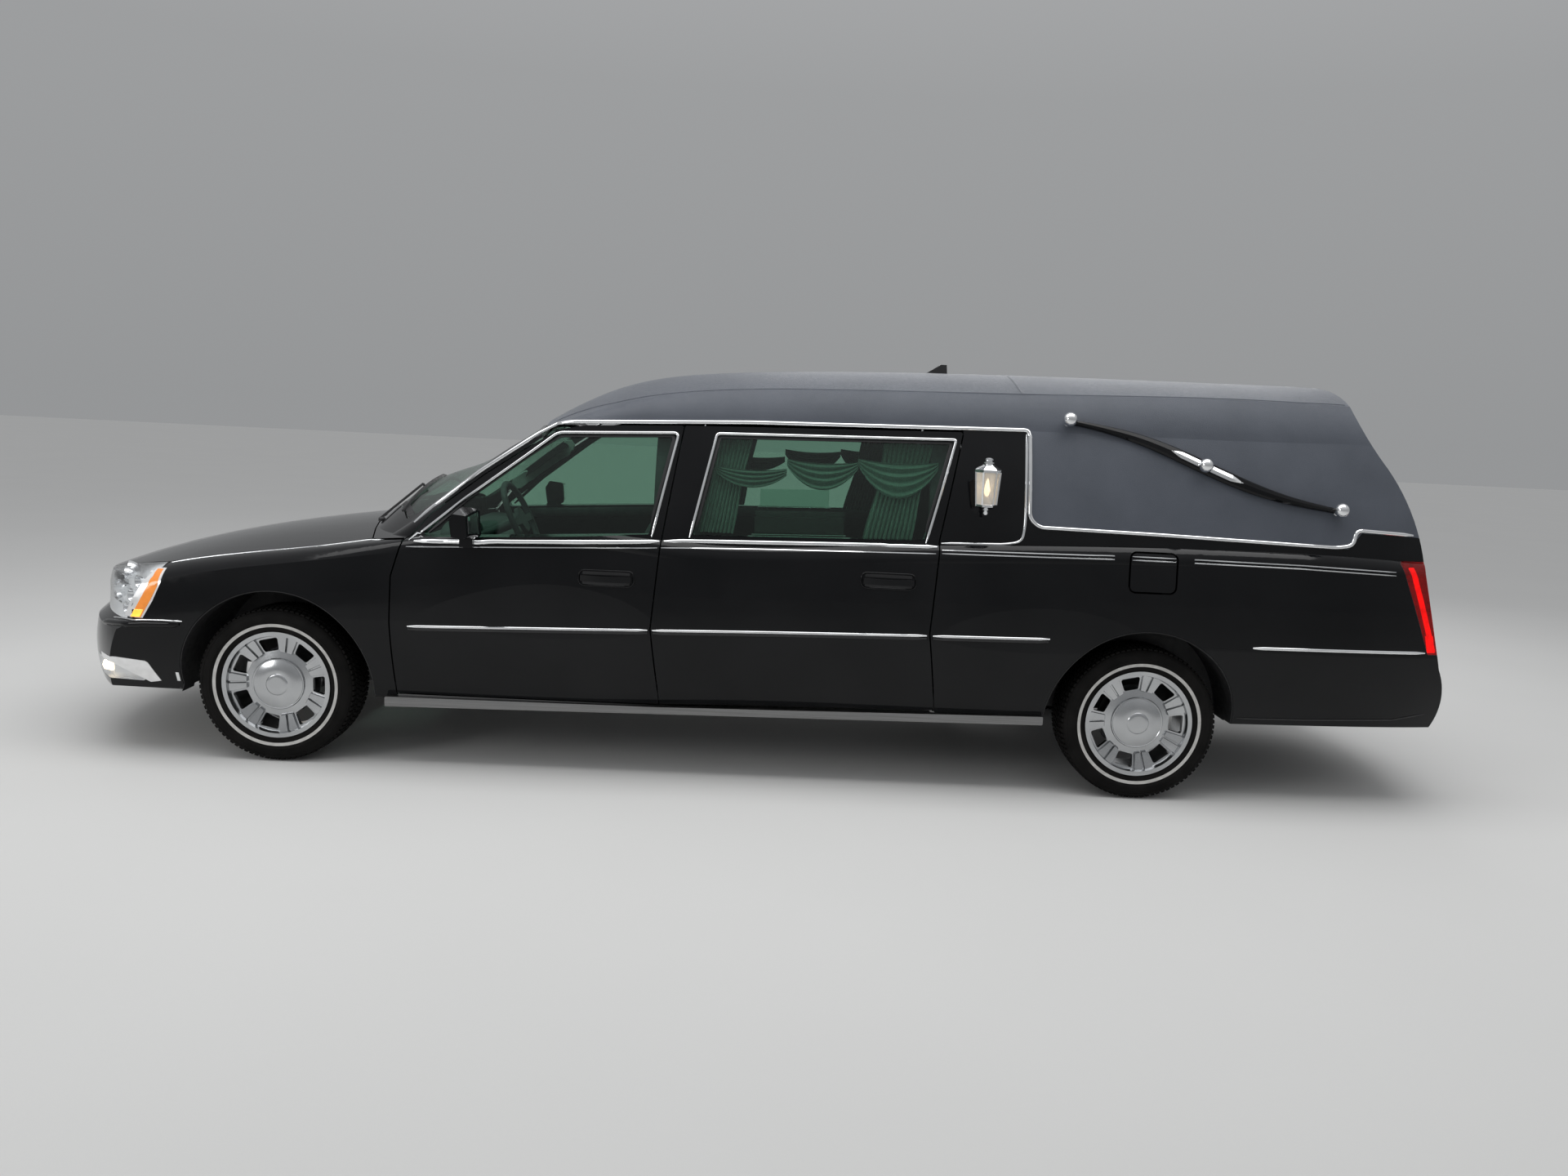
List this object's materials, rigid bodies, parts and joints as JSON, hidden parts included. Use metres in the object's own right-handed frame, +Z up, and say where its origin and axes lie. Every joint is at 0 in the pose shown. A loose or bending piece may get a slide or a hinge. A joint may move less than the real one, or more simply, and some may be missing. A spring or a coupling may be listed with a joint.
{
  "type": "coach-built hearse",
  "caption": "Full-size coach-built hearse with a raised padded roof, landau bars, hollow cabin and load space, hinged doors, hood and rolling steered wheels.",
  "frame": {"origin": "on the ground under the middle of the overall length", "axes": "+X rearwards, +Y to the right-hand side, +Z up"},
  "size_m": [6.3502, 2.26, 1.884],
  "materials": {
    "black_paint": "gloss",
    "cabin_trim": "matte",
    "cast_metal": "as cast",
    "chrome": "polished",
    "dark_plastic": "matte",
    "deck_carpet": "carpet",
    "lamp_lens": "clear",
    "red_lens": "gloss",
    "rocker_metal": "satin",
    "roof_vinyl": "matte grained",
    "seat_leather": "satin",
    "steel": "satin",
    "tyre": "matte",
    "wheel_metal": "machined",
    "window_glass": "clear tinted"
  },
  "bodies": {
    "root": {"windscreen": "window_glass", "windscreen_frame": "black_paint", "vinyl_top": "roof_vinyl", "front_fenders": "black_paint", "rear_quarters": "black_paint", "rear_bumper": "black_paint", "front_bumper": "black_paint", "fog_lamps": "lamp_lens", "grille": "chrome", "front_lamps": "lamp_lens", "tail_lamps": "red_lens", "floor_pan": "steel", "rockers": "rocker_metal", "door_pillars": "cabin_trim", "casket_deck": "deck_carpet", "wheelhouses": "dark_plastic", "engine_block": "cast_metal", "dashboard": "cabin_trim", "steering_wheel": "cabin_trim", "front_seats": "seat_leather", "rear_axle": "steel", "front_subframe": "steel", "fuel_tank": "dark_plastic", "exhaust": "steel", "landau_bars": "chrome", "coach_lamps": "chrome", "roof_fin": "dark_plastic"},
    "hood": {"hood": "black_paint"},
    "tail_door": {"tail_door": "black_paint", "tail_glass": "window_glass"},
    "fuel_flap": {"fuel_flap": "black_paint"},
    "front_door_left": {"front_door_left": "black_paint", "front_glass_left": "window_glass"},
    "wheel_front_left": {"tyre_front_left": "tyre", "wheel_front_left": "wheel_metal"},
    "front_door_right": {"front_door_right": "black_paint", "front_glass_right": "window_glass"},
    "wheel_front_right": {"tyre_front_right": "tyre", "wheel_front_right": "wheel_metal"},
    "rear_door_left": {"rear_door_left": "black_paint", "rear_glass_left": "window_glass"},
    "wheel_rear_left": {"tyre_rear_left": "tyre", "wheel_rear_left": "wheel_metal"},
    "rear_door_right": {"rear_door_right": "black_paint", "rear_glass_right": "window_glass"},
    "wheel_rear_right": {"tyre_rear_right": "tyre", "wheel_rear_right": "wheel_metal"},
    "knuckle_left": {"knuckle_left": "cast_metal"},
    "knuckle_right": {"knuckle_right": "cast_metal"}
  },
  "joints": [
    {"name": "steer_left", "type": "hinge", "parent": "root", "child": "knuckle_left", "pos_m": [-2.085, -0.711, 0.34], "axis": [0, 0, 1], "range_deg": [-35, 35]},
    {"name": "steer_right", "type": "hinge", "parent": "root", "child": "knuckle_right", "pos_m": [-2.085, 0.711, 0.34], "axis": [0, 0, 1], "range_deg": [-35, 35]},
    {"name": "spin_front_left", "type": "hinge", "parent": "knuckle_left", "child": "wheel_front_left", "pos_m": [-2.085, -0.794, 0.34], "axis": [0, 1, 0], "continuous": true},
    {"name": "spin_rear_left", "type": "hinge", "parent": "root", "child": "wheel_rear_left", "pos_m": [1.675, -0.7875, 0.34], "axis": [0, 1, 0], "continuous": true},
    {"name": "open_front_door_left", "type": "hinge", "parent": "root", "child": "front_door_left", "pos_m": [-1.58, -0.953, 0.8], "axis": [0, 0, -1], "range_deg": [0, 65]},
    {"name": "open_rear_door_left", "type": "hinge", "parent": "root", "child": "rear_door_left", "pos_m": [-0.468, -0.953, 0.8], "axis": [0, 0, -1], "range_deg": [0, 65]},
    {"name": "spin_front_right", "type": "hinge", "parent": "knuckle_right", "child": "wheel_front_right", "pos_m": [-2.085, 0.794, 0.34], "axis": [0, 1, 0], "continuous": true},
    {"name": "spin_rear_right", "type": "hinge", "parent": "root", "child": "wheel_rear_right", "pos_m": [1.675, 0.7875, 0.34], "axis": [0, 1, 0], "continuous": true},
    {"name": "open_front_door_right", "type": "hinge", "parent": "root", "child": "front_door_right", "pos_m": [-1.58, 0.953, 0.8], "axis": [0, 0, 1], "range_deg": [0, 65]},
    {"name": "open_rear_door_right", "type": "hinge", "parent": "root", "child": "rear_door_right", "pos_m": [-0.468, 0.953, 0.8], "axis": [0, 0, 1], "range_deg": [0, 65]},
    {"name": "open_hood", "type": "hinge", "parent": "root", "child": "hood", "pos_m": [-1.665, 0, 1], "axis": [0, 1, 0], "range_deg": [0, 50]},
    {"name": "open_tail_door", "type": "hinge", "parent": "root", "child": "tail_door", "pos_m": [3.05, -0.668, 0.9], "axis": [0, 0, -1], "range_deg": [0, 95]},
    {"name": "open_fuel_flap", "type": "hinge", "parent": "root", "child": "fuel_flap", "pos_m": [1.564, -0.94, 1.011], "axis": [0, -0.1426, -0.9898], "range_deg": [0, 100]}
  ],
  "couplings": [
    {"joint": "steer_right", "follows": "steer_left", "ratio": 1}
  ]
}
